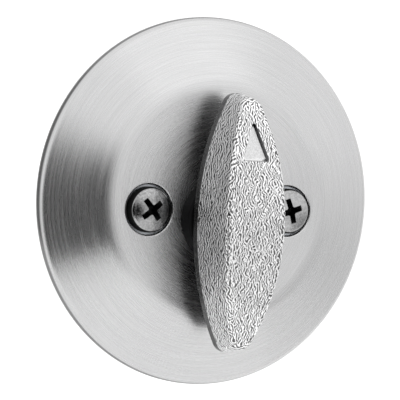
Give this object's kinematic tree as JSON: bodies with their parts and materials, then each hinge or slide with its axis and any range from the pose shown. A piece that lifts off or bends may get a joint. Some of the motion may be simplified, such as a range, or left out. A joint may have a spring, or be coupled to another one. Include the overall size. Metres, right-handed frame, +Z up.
{
  "type": "deadbolt thumb-turn trim",
  "caption": "Round satin rose with a textured oval thumb-turn, its detent mechanism, torque blade, mounting screws and anchor plate for a one-sided deadbolt.",
  "frame": {"origin": "on the turn's spindle axis, in the plane of the door's face that the rose rests on", "axes": "+Y along the spindle into the door, +Z up, +X to the right as seen from the room"},
  "size_m": [0.0666, 0.0725, 0.0668],
  "materials": {
    "satin_chrome": "fine circular brushing, satin chrome plate",
    "cast_satin": "pebbled casting, satin chrome plate",
    "black_nylon": "moulded nylon",
    "screw_plating": "nickel plate",
    "zinc_steel": "zinc plated stamping",
    "hardened_steel": "hardened and oiled steel",
    "spring_steel": "tempered spring strip",
    "black_spring_steel": "black phosphate",
    "blade_steel": "yellow zinc plate",
    "natural_nylon": "natural nylon"
  },
  "bodies": {
    "trim": {"rose": "satin_chrome", "backing_plate": "zinc_steel", "turn_collar": "black_nylon", "anchor_plate": "zinc_steel", "mounting_screw_left": "screw_plating", "mounting_screw_right": "screw_plating", "screw_keeper_left": "natural_nylon", "screw_keeper_right": "natural_nylon", "detent_spring_left": "spring_steel", "detent_spring_right": "spring_steel", "spring_post_upper_left": "zinc_steel", "spring_post_lower_left": "zinc_steel", "spring_post_upper_right": "zinc_steel", "spring_post_lower_right": "zinc_steel"},
    "turn": {"thumb_turn": "cast_satin", "stop_cam": "hardened_steel", "detent_cam": "hardened_steel", "thrust_washer": "zinc_steel", "curved_washer": "spring_steel", "retaining_ring": "black_spring_steel", "torque_blade": "blade_steel", "blade_pin": "spring_steel"}
  },
  "joints": [
    {"name": "turn_spin", "type": "hinge", "parent": "trim", "child": "turn", "pos_m": [0, 0, 0], "axis": [0, 1, 0], "range_deg": [0, 90], "deforming": ["detent_spring_left", "detent_spring_right"]}
  ]
}
